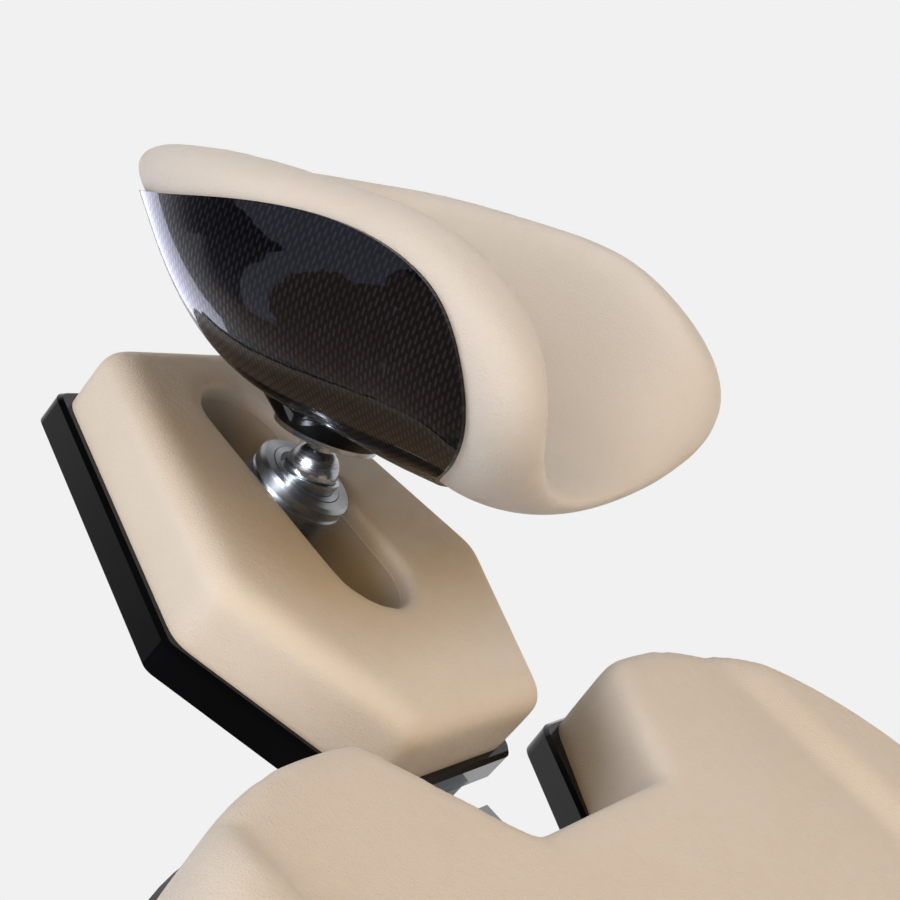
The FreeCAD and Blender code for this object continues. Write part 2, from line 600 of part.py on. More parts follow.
def seat_frame():
    """The seat's plate with tilt lugs, the rear beam with the back hinge plates, and the leg hinge lugs."""
    level = (SEAT_FRAME_BOTTOM, SEAT_TRAY_BOTTOM)
    beam = (SEAT_REAR - HINGE_BEAM, SEAT_REAR)
    hinge_outer = HINGE_INNER_X + HINGE_PLATE
    pieces = [
        wide_block(SEAT_FRAME_HALF_WIDTH, (SEAT_FRONT, SEAT_REAR), level),
        wide_block(hinge_outer, beam, level),
    ]
    lug_inner, lug_outer = tilt_lug_range()
    for side in SIDES:
        lug_x = sorted((side * lug_inner, side * lug_outer))
        pieces.append(cross_rod(TILT_LUG_RADIUS, lug_x, 0, TILT_Z))
        pieces.append(block(lug_x, (-TILT_LUG_RADIUS, TILT_LUG_RADIUS), (TILT_Z, SEAT_FRAME_BOTTOM)))
        plate_x = sorted((side * HINGE_INNER_X, side * hinge_outer))
        pieces.append(side_plate(plate_x, [
            (beam[0], SEAT_FRAME_BOTTOM), (beam[1], SEAT_FRAME_BOTTOM),
            (BACK_AXIS_Y + HINGE_EYE_RADIUS, BACK_AXIS_Z), (BACK_AXIS_Y - HINGE_EYE_RADIUS, BACK_AXIS_Z),
        ]))
        pieces.append(cross_rod(HINGE_EYE_RADIUS, plate_x, BACK_AXIS_Y, BACK_AXIS_Z))
        eye_x = sorted((side * LEG_LUG_X, side * (LEG_LUG_X + LEG_LUG_WIDTH)))
        pieces.append(cross_rod(LEG_EYE_RADIUS, eye_x, LEG_AXIS_Y, LEG_AXIS_Z))
        pieces.append(side_plate(eye_x, [
            (LEG_AXIS_Y, LEG_AXIS_Z - LEG_EYE_RADIUS), (SEAT_FRONT + 2 * LEG_EYE_RADIUS, SEAT_FRAME_BOTTOM),
            (SEAT_FRONT, SEAT_TRAY_BOTTOM), (LEG_AXIS_Y, SEAT_TRAY_BOTTOM),
        ]))
    body = joined(pieces)
    leg_outer = LEG_LUG_X + LEG_LUG_WIDTH
    lug_room = leg_outer + LEG_LUG_WIDTH + 2 * LEG_LUG_GAP
    bores = [
        cross_rod(TILT_SHAFT_RADIUS + FIXED_GAP, (-lug_outer, lug_outer), 0, TILT_Z),
        cross_rod(BACK_PIN_RADIUS + RUNNING_GAP, (-hinge_outer, hinge_outer), BACK_AXIS_Y, BACK_AXIS_Z),
        cross_rod(LEG_SHAFT_RADIUS + RUNNING_GAP, (-leg_outer, leg_outer), LEG_AXIS_Y, LEG_AXIS_Z),
    ]
    for side in SIDES:
        room_x = sorted((side * leg_outer, side * lug_room))
        bores.append(cross_rod(LEG_EYE_RADIUS + LEG_LUG_GAP, room_x, LEG_AXIS_Y, LEG_AXIS_Z))
    for bore in bores:
        body = body.cut(bore)
    return body


def section_tray(half_width, y_range, z_range):
    """A lacquered tray with round corners and a bright bevelled edge."""
    tray = slab(rectangle(half_width, y_range), [SECTION_CORNER] * 4, z_range)
    return bevelled(tray, z_range[1], TRAY_EDGE)


def section_cushion(half_width, y_range, z_range):
    """A cushion that stands inside its tray's edge."""
    inner = (y_range[0] + CUSHION_INSET, y_range[1] - CUSHION_INSET)
    pad = slab(rectangle(half_width - CUSHION_INSET, inner), [SECTION_CORNER - CUSHION_INSET] * 4, z_range)
    return bevelled(pad, z_range[1], CUSHION_BEVEL)


def wedge(y_near, z_axis, z_top, direction):
    """What is cut from a cushion's end so that two cushions clear each other when the backrest rises."""
    rise = z_top - z_axis
    far = y_near + direction * rise * math.tan(math.radians(BACK_WEDGE))
    beyond = y_near - direction * CUSHION
    x_range = (-BED_HALF_WIDTH, BED_HALF_WIDTH)
    return side_plate(x_range, [(y_near, z_axis), (far, z_top), (beyond, z_top), (beyond, z_axis)])


def seat_upholstery():
    """The seat's tray and cushion."""
    tray = section_tray(BED_HALF_WIDTH, (SEAT_FRONT, SEAT_REAR), (SEAT_TRAY_BOTTOM, SEAT_TRAY_TOP))
    cushion = section_cushion(BED_HALF_WIDTH, (SEAT_FRONT, SEAT_REAR), (SEAT_TRAY_TOP, SEAT_HEIGHT))
    cushion = cushion.cut(wedge(SEAT_REAR, BACK_AXIS_Z, SEAT_HEIGHT, -1))
    return {"seat_tray": tray, "seat_cushion": cushion}


def side_rail(side):
    """One accessory rail with the spacers that hold it off the seat tray."""
    inner = BED_HALF_WIDTH + RAIL_STANDOFF
    y_range = (SEAT_FRONT + RAIL_FRONT_MARGIN, SEAT_REAR - RAIL_REAR_MARGIN)
    middle_z = (SEAT_TRAY_BOTTOM + SEAT_TRAY_TOP) / 2
    z_range = (middle_z - RAIL_HEIGHT / 2, middle_z + RAIL_HEIGHT / 2)
    pieces = [block(sorted((side * inner, side * (inner + RAIL_THICKNESS))), y_range, z_range)]
    spacer_x = sorted((side * BED_HALF_WIDTH, side * inner))
    for y in (y_range[0] + RAIL_SPACER_INSET, y_range[1] - RAIL_SPACER_INSET):
        pieces.append(cross_rod(RAIL_SPACER_RADIUS, spacer_x, y, middle_z))
    return joined(pieces)


def back_drive(side):
    """The gear drive at one end of the backrest's axis."""
    drum_x = sorted((side * BACK_DRIVE_X, side * (BACK_DRIVE_X + BACK_DRIVE_WIDTH)))
    pin_x = sorted((side * BACK_DRIVE_X, side * (BACK_DRIVE_X + BACK_DRIVE_WIDTH / 2)))
    drum = cross_rod(BACK_DRIVE_RADIUS, drum_x, BACK_AXIS_Y, BACK_AXIS_Z)
    return drum.cut(cross_rod(BACK_PIN_RADIUS + RUNNING_GAP, pin_x, BACK_AXIS_Y, BACK_AXIS_Z))


def leg_drive():
    """The gear drive round the leg section's shaft, hung under the seat frame."""
    x_range = (-LEG_DRIVE_HALF, LEG_DRIVE_HALF)
    y_range = (LEG_AXIS_Y - LEG_DRIVE_RADIUS, SEAT_FRONT + 2 * LEG_DRIVE_RADIUS)
    drive = joined([
        cross_rod(LEG_DRIVE_RADIUS, x_range, LEG_AXIS_Y, LEG_AXIS_Z),
        block(x_range, (LEG_AXIS_Y, y_range[1]), (LEG_AXIS_Z - LEG_EYE_RADIUS, SEAT_FRAME_BOTTOM)),
    ])
    drive = drive.cut(block(x_range, y_range, (SEAT_FRAME_BOTTOM, LEG_AXIS_Z + LEG_DRIVE_RADIUS)))
    return drive.cut(cross_rod(LEG_SHAFT_RADIUS + RUNNING_GAP, x_range, LEG_AXIS_Y, LEG_AXIS_Z))


def back_outline(inset):
    """Corner points and radii of the backrest, with the notch between its shoulders."""
    half = BED_HALF_WIDTH - inset
    end = BACK_LENGTH - inset
    floor = NOTCH_FLOOR_V - inset
    slope = math.atan2(NOTCH_MOUTH_HALF - NOTCH_FLOOR_HALF, NOTCH_DEPTH)
    shift = inset / math.cos(slope) + inset * math.tan(slope)
    mouth_half = NOTCH_MOUTH_HALF + shift
    floor_half = NOTCH_FLOOR_HALF + shift - 2 * inset * math.tan(slope)
    start = SECTION_GAP + inset
    left = [(half, start), (half, end), (mouth_half, end), (floor_half, floor)]
    radii = [SECTION_CORNER, SHOULDER_RADIUS - inset, NOTCH_MOUTH_RADIUS, NOTCH_FLOOR_RADIUS + inset]
    right = [(-x, v) for x, v in reversed(left)]
    return left + right, radii + radii[::-1]


def back_upholstery():
    """The backrest's tray and cushion, in the backrest's frame."""
    points, radii = back_outline(0.0)
    tray = slab(points, radii, (BACK_TRAY_BOTTOM, BACK_TRAY_TOP))
    points, radii = back_outline(CUSHION_INSET)
    top = BACK_CUSHION_TOP + BOLSTER_RISE
    cushion = bevelled(slab(points, radii, (BACK_TRAY_TOP, top)), top, CUSHION_BEVEL)
    ridge = BOLSTER_FOOT + BOLSTER_SLOPE
    middle = [FreeCAD.Vector(x, 0, n) for x, n in (
        (-BOLSTER_FOOT, BACK_CUSHION_TOP), (BOLSTER_FOOT, BACK_CUSHION_TOP), (ridge, top), (-ridge, top),
    )]
    channel = Part.Face(Part.makePolygon(middle + middle[:1])).extrude(FreeCAD.Vector(0, BACK_LENGTH, 0))
    cushion = cushion.cut(channel).cut(wedge(SECTION_GAP, 0.0, top, 1))
    return {"back_tray": bevelled(tray, BACK_TRAY_TOP, TRAY_EDGE), "back_cushion": cushion}


def back_frame():
    """The arms at the hinge and the plate that carries the backrest's tray."""
    level = (BACK_TRAY_BOTTOM - BACK_PLATE, BACK_TRAY_BOTTOM)
    pieces = [
        wide_block(ARM_OUTER_X, (ARM_TAB_START, ARM_TAB_END), level),
        wide_block(BED_HALF_WIDTH - SECTION_CORNER, (ARM_TAB_START, BACK_PLATE_END), level),
    ]
    for side in SIDES:
        arm_x = sorted((side * ARM_INNER_X, side * ARM_OUTER_X))
        pieces.append(cross_rod(HINGE_EYE_RADIUS, arm_x, 0, 0))
        pieces.append(side_plate(arm_x, [
            (0, -HINGE_EYE_RADIUS), (ARM_TAB_START, level[0]), (ARM_TAB_END, level[0]),
            (ARM_TAB_END, BACK_TRAY_TOP), (0, HINGE_EYE_RADIUS),
        ]))
    body = joined(pieces)
    return body.cut(cross_rod(BACK_PIN_RADIUS + FIXED_GAP, (-ARM_OUTER_X, ARM_OUTER_X), 0, 0))


def back_pin(side):
    """One hinge pin, held in its arm."""
    end = BACK_DRIVE_X + BACK_DRIVE_WIDTH / 2 - SEAT_GAP
    return cross_rod(BACK_PIN_RADIUS, sorted((side * HINGE_INNER_X, side * end)), 0, 0)


def along(radius, v_range, x, n):
    """A cylinder along the backrest."""
    return Part.makeCylinder(radius, v_range[1] - v_range[0], FreeCAD.Vector(x, v_range[0], n), Y_AXIS)


def guide_range():
    """Both ends of the guide block along the backrest."""
    return NOTCH_FLOOR_V - GUIDE_START, NOTCH_FLOOR_V - GUIDE_END


def lock_axis():
    """V and N of the point where the lock lever's stud enters the guide block from below."""
    return sum(guide_range()) / 2, ROD_N - BUSH_RADIUS - GUIDE_WALL


def guide():
    """The guide block under the backrest's tray and its bushes."""
    v_range = guide_range()
    half_width = ROD_HALF_SPAN + BUSH_RADIUS + GUIDE_WALL
    lock_v, bottom = lock_axis()
    body = wide_block(half_width, v_range, (bottom, BACK_TRAY_BOTTOM))
    bushes = []
    for side in SIDES:
        x = side * ROD_HALF_SPAN
        body = body.cut(along(BUSH_RADIUS, v_range, x, ROD_N))
        for ends in ((v_range[0], v_range[0] + BUSH_LENGTH), (v_range[1] - BUSH_LENGTH, v_range[1])):
            bush = along(BUSH_RADIUS - FIXED_GAP, ends, x, ROD_N)
            bushes.append(bush.cut(along(ROD_RADIUS + RUNNING_GAP, ends, x, ROD_N)))
    stud_end = bottom + LOCK_STUD_LENGTH + SEAT_GAP
    stud_bore = upright(LOCK_STUD_RADIUS + RUNNING_GAP, (bottom, stud_end), y=lock_v)
    return {"guide_block": body.cut(stud_bore), "guide_bushes": Part.makeCompound(bushes)}


def lock_lever():
    """The slide's lock lever under the guide block."""
    v, bottom = lock_axis()
    top = bottom - SEAT_GAP
    hub = (top - LOCK_HUB_HEIGHT, top)
    return joined([
        upright(LOCK_STUD_RADIUS, (top, bottom + LOCK_STUD_LENGTH), y=v),
        upright(LOCK_HUB_RADIUS, hub, y=v),
        wide_block(LOCK_ARM_HALF_WIDTH, (v - LOCK_ARM, v), (hub[0], hub[0] + LOCK_HUB_HEIGHT / 2)),
        upright(LOCK_ARM_HALF_WIDTH, (hub[0], hub[0] + LOCK_HUB_HEIGHT / 2), y=v - LOCK_ARM),
    ])


def head_slide():
    """The guide rods and the yoke at their end, in the backrest's frame."""
    yoke_v = (HEAD_AXIS_BACK_V - YOKE_START, HEAD_AXIS_BACK_V - YOKE_END)
    yoke_n = (ROD_N - ROD_RADIUS - YOKE_WALL, ROD_N + ROD_RADIUS + YOKE_WALL)
    arm_n = (yoke_n[0], HEAD_AXIS_BACK_N)
    yoke = joined([
        wide_block(YOKE_HALF_WIDTH, yoke_v, yoke_n),
        wide_block(KNUCKLE_HALF, (yoke_v[0], HEAD_AXIS_BACK_V), arm_n),
        cross_rod(KNUCKLE_RADIUS, (-KNUCKLE_HALF, KNUCKLE_HALF), HEAD_AXIS_BACK_V, HEAD_AXIS_BACK_N),
    ])
    pin_bore = cross_rod(HEAD_PIN_RADIUS + RUNNING_GAP, (-KNUCKLE_HALF, KNUCKLE_HALF),
                         HEAD_AXIS_BACK_V, HEAD_AXIS_BACK_N)
    yoke = yoke.cut(pin_bore)
    pieces = {}
    for name, side in SIDE_NAMES:
        x = side * ROD_HALF_SPAN
        yoke = yoke.cut(along(ROD_RADIUS + FIXED_GAP, yoke_v, x, ROD_N))
        pieces[f"guide_rod_{name}"] = along(ROD_RADIUS, (yoke_v[1] - ROD_LENGTH, yoke_v[1]), x, ROD_N)
    pieces["head_yoke"] = yoke
    return pieces


def plate_points(inset):
    """The six corners of the head plate, moved inwards by an inset."""
    head_slope = math.atan2(PLATE_HALF_WIDTH - PLATE_HEAD_HALF, PLATE_HEAD_LENGTH)
    neck_slope = math.atan2(PLATE_HALF_WIDTH - PLATE_NECK_HALF, PLATE_NECK_LENGTH)
    head = PLATE_HEAD_HALF - inset / math.cos(head_slope) + inset * math.tan(head_slope)
    neck = PLATE_NECK_HALF - inset / math.cos(neck_slope) + inset * math.tan(neck_slope)
    middle = PLATE_HALF_WIDTH - inset
    right = [(neck, inset - PLATE_NECK_LENGTH), (middle, 0.0), (head, PLATE_HEAD_LENGTH - inset)]
    return right + [(-x, v) for x, v in reversed(right)]


def slot_cut(z_range):
    """The long slot of the head plate."""
    return slot_block(SLOT_HALF, -SLOT_NECK, SLOT_HEAD, z_range)


def head_plate():
    """Tray, cushion, slot track and hinge bracket of the head plate, in the plate's frame."""
    top = TRAY + PLATE_CUSHION
    tray = slab(plate_points(0.0), [PLATE_CORNER] * 6, (0, TRAY))
    tray = bevelled(tray, TRAY, TRAY_EDGE).cut(slot_cut((0, TRAY)))
    cushion = slab(plate_points(CUSHION_INSET), [PLATE_CUSHION_CORNER] * 6, (TRAY, top))
    cushion = bevelled(cushion, top, PLATE_BEVEL).cut(slot_cut((TRAY, top)))
    track = slot_block(SLOT_HALF + TRACK_RIM, -SLOT_NECK - TRACK_RIM, SLOT_HEAD + TRACK_RIM, (-TRACK, 0))
    stud_slot = STUD_RADIUS + STUD_SIDE_GAP
    room = SLOT_HALF - stud_slot
    track = track.cut(slot_block(stud_slot, room - SLOT_NECK, SLOT_HEAD - room, (-TRACK, 0)))
    pieces = [wide_block(BRACKET_HALF_WIDTH, (-BRACKET_END, -BRACKET_START), (-BRACKET, 0))]
    lug_inner = KNUCKLE_HALF + HEAD_LUG_GAP
    lug_outer = lug_inner + HEAD_LUG_WIDTH
    for side in SIDES:
        lug_x = sorted((side * lug_inner, side * lug_outer))
        pieces.append(cross_rod(KNUCKLE_RADIUS, lug_x, -HEAD_AXIS_V, -HEAD_AXIS_N))
        pieces.append(block(lug_x, (-HEAD_AXIS_V - KNUCKLE_RADIUS, -HEAD_AXIS_V + KNUCKLE_RADIUS),
                            (-HEAD_AXIS_N, 0)))
    pin_x = (-lug_outer, lug_outer)
    bracket = joined(pieces).cut(cross_rod(HEAD_PIN_RADIUS + FIXED_GAP, pin_x, -HEAD_AXIS_V, -HEAD_AXIS_N))
    return {
        "head_tray": tray,
        "head_cushion": cushion,
        "slot_track": track,
        "head_bracket": bracket,
        "head_hinge_pin": cross_rod(HEAD_PIN_RADIUS, pin_x, -HEAD_AXIS_V, -HEAD_AXIS_N),
    }


def ball(radius):
    """A sphere round the middle of the ball joint."""
    return Part.makeSphere(radius)


def socket():
    """The socket on its stud and the rim ring, in the socket's frame."""
    floor = SEAT_GAP - BALL_N
    shoulder = SOCKET_RIM - RIM_HEIGHT - BALL_N
    body = upright(SOCKET_RADIUS, (floor, shoulder))
    body = body.makeChamfer(SOCKET_EDGE, level_edges(body, shoulder))
    body = joined([
        body,
        upright(COLLAR_RADIUS, (floor, -COLLAR_DROP)),
        upright(STUD_RADIUS, (floor - STUD_LENGTH, floor)),
    ])
    body = body.cut(ball(BALL_RADIUS + BALL_GAP + LINER_WALL + BALL_GAP))
    rim = (shoulder + SEAT_GAP, SOCKET_RIM - BALL_N)
    ring = upright(SOCKET_RADIUS, rim)
    ring = ring.makeChamfer(SOCKET_EDGE, level_edges(ring, rim[1]))
    return {"socket_body": body, "socket_ring": ring.cut(upright(COLLAR_RADIUS + RIM_GAP, rim))}


def clamp_knob():
    """The lobed knob on the socket's stud, under the slot track."""
    top = -TRACK - SEAT_GAP - BALL_N
    level = (top - KNOB_HEIGHT, top)
    lobes = [upright(KNOB_RADIUS - KNOB_LOBE_RADIUS, level)]
    for index in range(KNOB_LOBES):
        turn = 2 * math.pi * index / KNOB_LOBES
        reach = KNOB_RADIUS - KNOB_LOBE_RADIUS
        lobes.append(upright(KNOB_LOBE_RADIUS, level, reach * math.cos(turn), reach * math.sin(turn)))
    return joined(lobes).cut(upright(STUD_RADIUS + RUNNING_GAP, level))


def ball_liner():
    """The floating seat ring between ball and socket."""
    outer = BALL_RADIUS + BALL_GAP + LINER_WALL
    ring = ball(outer).cut(ball(BALL_RADIUS + BALL_GAP))
    return ring.common(upright(2 * outer, (-LINER_FOOT_DROP, -LINER_TOP_DROP)))


def ball_stem():
    """The ball with its stem, flange and pivot, turned from one bar."""
    return joined([
        ball(BALL_RADIUS),
        upright(STEM_RADIUS, (0, FLANGE_TOP)),
        upright(FLANGE_RADIUS, (FLANGE_TOP - FLANGE, FLANGE_TOP)),
        upright(PIVOT_RADIUS, (FLANGE_TOP, FLANGE_TOP + PIVOT_LENGTH)),
    ])


def section(v, half_width, low, middle, high, bottom_squareness):
    """A closed curve across the headrest, with one squareness above its widest level and another below."""
    points = []
    for index in range(SECTION_POINTS):
        turn = 2 * math.pi * index / SECTION_POINTS
        above = math.sin(turn) > 0
        power = 2 / (TOP_SQUARENESS if above else bottom_squareness)
        reach = high - middle if above else low - middle
        x = math.copysign(abs(math.cos(turn)) ** power, math.cos(turn))
        points.append(FreeCAD.Vector(half_width * x, v, middle + reach * abs(math.sin(turn)) ** power))
    curve = Part.BSplineCurve()
    curve.interpolate(points, PeriodicFlag=True)
    return Part.Wire([curve.toShape()])


def headrest_body(inset):
    """The headrest's full form, moved inwards by an inset."""
    sections = []
    start = HEADREST_SECTIONS[0][0]
    end = HEADREST_SECTIONS[-1][0]
    shrink = 1 - 2 * inset / (end - start)
    centre = (start + end) / 2
    for v, half_width, low, high in HEADREST_SECTIONS:
        middle = low + HEADREST_WIDEST * (high - low)
        v_inset = centre + (v - centre) * shrink
        headwards = max(0.0, v / end)
        squareness = BOTTOM_SQUARENESS + headwards * (HEAD_END_SQUARENESS - BOTTOM_SQUARENESS)
        sections.append(section(v_inset, half_width - inset, low + inset, middle, high - inset, squareness))
    return Part.makeLoft(sections, True)


def headrest_trough():
    """The hollow for the head: open at the neck end and rounded at the other."""
    sections = []
    for v, half_width, low in TROUGH_SECTIONS:
        sections.append(section(v, half_width, low, TROUGH_TOP, 2 * TROUGH_TOP - low, BOTTOM_SQUARENESS))
    return Part.makeLoft(sections, True)


def shell_region():
    """Everything on the shell's side of its edge."""
    reach = 2 * PLATE_HALF_WIDTH
    curve = Part.BSplineCurve()
    curve.interpolate([FreeCAD.Vector(-reach, v, w) for v, w in SHELL_EDGE])
    start = curve.StartPoint
    end = curve.EndPoint
    corner = FreeCAD.Vector(start.x, start.y, end.z)
    edges = [
        curve.toShape(),
        Part.LineSegment(end, corner).toShape(),
        Part.LineSegment(corner, start).toShape(),
    ]
    return Part.Face(Part.Wire(edges)).extrude(FreeCAD.Vector(2 * reach, 0, 0))


def headrest():
    """The carbon shell with its boss, and the pad in it, in the headrest's frame."""
    region = shell_region()
    full = headrest_body(0.0)
    boss_bottom = FLANGE_TOP + SEAT_GAP
    boss = Part.makeCone(SHELL_BOSS_FOOT, SHELL_BOSS_RADIUS, SHELL_BOSS_TOP - boss_bottom)
    boss.translate(FreeCAD.Vector(0, 0, boss_bottom))
    pivot_bore = upright(PIVOT_RADIUS + RUNNING_GAP, (FLANGE_TOP, FLANGE_TOP + PIVOT_LENGTH + SEAT_GAP))
    shell = full.common(region).cut(headrest_body(SHELL_WALL)).fuse(boss).cut(pivot_bore)
    pad = headrest_body(SHELL_WALL + SHELL_GAP).fuse(full.cut(region))
    pad = pad.cut(upright(SHELL_BOSS_RADIUS + SHELL_GAP, (0, SHELL_BOSS_TOP + SHELL_GAP)))
    return {"headrest_shell": shell, "headrest_pad": pad.cut(headrest_trough())}


def leg_section():
    """Frame, shaft, tray and cushion of the leg section, in the leg's frame, where Y points to the seat."""
    tray_bottom = LEG_AXIS_DROP
    tray_top = tray_bottom + TRAY
    y_range = (-SECTION_GAP - LEG_LENGTH, -SECTION_GAP)
    drive_end = -LEG_DRIVE_RADIUS - LEG_DRIVE_ROOM
    tray = section_tray(BED_HALF_WIDTH, y_range, (tray_bottom, tray_top))
    tray = tray.cut(wide_block(LEG_DRIVE_HALF + LEG_DRIVE_ROOM, (drive_end, 0), (tray_bottom, tray_top)))
    cushion = section_cushion(BED_HALF_WIDTH, y_range, (tray_top, tray_top + CUSHION))
    lug_inner = LEG_LUG_X + LEG_LUG_WIDTH + LEG_LUG_GAP
    lug_outer = lug_inner + LEG_LUG_WIDTH
    level = (tray_bottom - LEG_PLATE, tray_bottom)
    pieces = [wide_block(lug_outer, (-LEG_PLATE_LENGTH, drive_end), level)]
    for side in SIDES:
        lug_x = sorted((side * lug_inner, side * lug_outer))
        pieces.append(cross_rod(LEG_EYE_RADIUS - LEG_LUG_GAP, lug_x, 0, 0))
        pieces.append(block(lug_x, (drive_end, 0), level))
    shaft_x = (-lug_outer, lug_outer)
    body = joined(pieces).cut(cross_rod(LEG_SHAFT_RADIUS + FIXED_GAP, shaft_x, 0, 0))
    return {
        "leg_frame": body,
        "leg_shaft": cross_rod(LEG_SHAFT_RADIUS, shaft_x, 0, 0),
        "leg_tray": tray,
        "leg_cushion": cushion,
    }


def build():
    """Every node by name, in the table's frame."""
    nodes = {
        "base_frame": base_frame(),
        "mains_inlet": mains_inlet(),
        "brake_pedal": brake_pedal(),
        "column_outer": column_outer(),
        "column_glides": column_glides(),
        "lift_drive": lift_drive(),
        "seat_frame": seat_frame(),
        "leg_drive": leg_drive(),
        "tilt_shaft": cross_rod(TILT_SHAFT_RADIUS, (-tilt_lug_range()[1], tilt_lug_range()[1]), 0, TILT_Z),
    }
    for name, x, y in castor_centres():
        nodes.update(castor(name, x, y))
    nodes.update(base_cover())
    nodes.update(lift_body())
    nodes.update(seat_upholstery())
    in_back = {"back_frame": back_frame(), "slide_lock_lever": lock_lever()}
    for name, side in SIDE_NAMES:
        nodes[f"side_rail_{name}"] = side_rail(side)
        nodes[f"back_drive_{name}"] = back_drive(side)
        in_back[f"back_pin_{name}"] = back_pin(side)
    in_back.update(back_upholstery())
    in_back.update(guide())
    in_back.update(head_slide())
    in_socket = {"clamp_knob": clamp_knob()}
    in_socket.update(socket())
    in_headrest = {"ball_liner": ball_liner(), "ball_stem": ball_stem()}
    in_headrest.update(headrest())
    local_nodes = (
        (BACK_FRAME, in_back),
        (PLATE_FRAME, head_plate()),
        (SOCKET_FRAME, in_socket),
        (HEADREST_FRAME, in_headrest),
        (LEG_FRAME, leg_section()),
    )
    for where, group in local_nodes:
        for name, shape in group.items():
            nodes[name] = placed(shape, where)
    return nodes


def to_origin(nodes):
    """The move that puts the origin on the floor under the middle of the table's outline."""
    box = FreeCAD.BoundBox()
    for shape in nodes.values():
        box.add(shape.optimalBoundingBox())
    return FreeCAD.Vector(-box.Center.x, -box.Center.y, -box.ZMin)


def main():
    nodes = build()
    move = to_origin(nodes)
    os.makedirs("parts", exist_ok=True)
    for name, shape in nodes.items():
        shape.translate(move)
        shape.exportStep(f"parts/{name}.step")
    print(f"{len(nodes)} nodes, moved by {move.x:.3f}, {move.y:.3f}, {move.z:.3f}")


if __name__ == "__main__":
    main()
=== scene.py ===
import json
import math

import bmesh
import bpy
from mathutils import Matrix, Vector


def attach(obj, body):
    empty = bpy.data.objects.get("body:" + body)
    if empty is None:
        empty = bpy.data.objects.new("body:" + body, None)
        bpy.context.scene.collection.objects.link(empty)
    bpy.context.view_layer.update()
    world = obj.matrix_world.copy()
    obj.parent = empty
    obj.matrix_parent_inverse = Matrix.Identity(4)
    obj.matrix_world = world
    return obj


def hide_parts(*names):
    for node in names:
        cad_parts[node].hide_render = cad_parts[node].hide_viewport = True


# The dressed ophthalmic surgery table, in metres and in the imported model's frame:
# X points to the patient's left, Y to the head, Z up, and the floor is at Z = 0.

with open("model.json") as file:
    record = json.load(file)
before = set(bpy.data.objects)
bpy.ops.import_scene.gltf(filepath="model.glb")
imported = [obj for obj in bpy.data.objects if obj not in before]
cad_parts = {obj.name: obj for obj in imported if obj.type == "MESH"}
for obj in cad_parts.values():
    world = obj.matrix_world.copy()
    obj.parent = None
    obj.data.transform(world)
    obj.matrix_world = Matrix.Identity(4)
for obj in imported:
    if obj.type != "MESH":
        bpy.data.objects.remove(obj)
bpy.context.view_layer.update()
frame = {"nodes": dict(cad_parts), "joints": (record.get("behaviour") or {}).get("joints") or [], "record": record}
nodes = frame["nodes"]
joint_places = {joint["name"]: Vector(joint["pos_m"]) for joint in frame["joints"] if "pos_m" in joint}

# Slopes of the sections at rest, in degrees above level, looking towards the head
BACK_SLOPE = 40.0
PLATE_SLOPE = 44.3
HEADREST_SLOPE = 25.8
LEG_SLOPE = 20.0

# Head plate, from its hinge
PLATE_FROM_HINGE = Vector((0.0, 0.083, 0.014))
PLATE_TOP = 0.052
SLOT_HALF_WIDTH = 0.028
SLOT_NECK = 0.0265
SLOT_HEAD = 0.114
SEAM_DROP = 0.010         # the slot's seam below the plate's top
SEAM_RADIUS = 0.0006
SEAM_INSET = 0.0018       # the cover's fullness narrows the slot, and the seam lies half in its wall
SEAM_STEPS = 24

# Cushions
SINK_DEPTH = 0.010        # how far a cushion's underside reaches into its tray
SMOOTHING = 0.5           # share of the way to the neighbours in one round

# Weave of the headrest's shell
WEAVE_CENTRE = 0.10       # height over the ball that the tows turn about
WEAVE_OFFSET = 200.0      # columns, to keep their count above zero
TOW_PITCH = 0.0021
TOW_LENGTH = 0.0052
BOSS_TOP = 0.031          # the boss under the shell has no weave
# Base colours between the tows and on them: the paler tows are painted sheen, in place of the light their fibres
# catch
TOW_GAP = (0.0010, 0.0010, 0.0015)
TOW_SHINE = (0.014, 0.014, 0.020)

# Camera, fitted to the photograph
CAMERA_FROM_PLATE = Vector((-0.6314, -0.4424, 0.1047))
CAMERA_AZIMUTH = 60.0
CAMERA_DIP = 1.447
CAMERA_LENS = 68.04
CAMERA_SENSOR = 36.0

# Studio
BACKDROP = 0.8796                 # linear grey of the backdrop
BACKDROP_WAY = (0.87, 0.5, 0.0)   # the way to the lit backdrop
PANEL_WAY = (-0.96, -0.19, 0.21)  # the way to a pale panel
PANEL_GLOW = 0.7
ROOM_GLOW = 0.04                  # the unlit side of the room, as gloss shows it
AMBIENT = (1.0, 0.86, 0.72)
AMBIENT_STRENGTH = 0.11
FLOOR_SIZE = 60.0
FLOOR_GREY = 0.80
FLOOR_GLOW = 0.08                 # the floor near the table, as gloss shows it

# Colours of the lamps
COOL = (0.93, 0.99, 1.09)
WARM = (1.0, 0.60, 0.17)
WHITE = (1.0, 1.0, 1.0)
WINDOW = (0.9, 0.92, 1.2)
LEATHER_GLOW = (1.0, 0.60, 0.36)

# Lamps that light everything: name, way from the head plate, distance, width and height, power, colour
ROOM_LAMPS = (
    ("key", (-0.82, 0.34, 0.42), 3.0, (1.6, 1.6), 60.0, COOL),
    ("front", (-0.2, -0.80, 0.56), 3.2, (1.6, 1.6), 48.0, COOL),
    ("side", (-0.9, -0.35, -0.2), 3.0, (1.6, 1.0), 22.0, COOL),
    ("top", (0.1, -0.2, 1.0), 2.2, (1.6, 1.6), 3.0, COOL),
)
SHOWN_IN_GLOSS = "top"

# Lamps that show only in the gloss of some pieces
STEEL_GLEAM = ("steel_gleam", (-0.87, -0.19, 0.45), 3.0, (1.0, 1.0), 220.0, COOL)
BALL_JOINT = ("socket_body", "socket_ring", "ball_liner", "ball_stem")
SHELL_EDGE = ("shell_edge", (0.3, 0.95, 0.0), 2.0, (1.3, 1.6), 24.0, WINDOW)

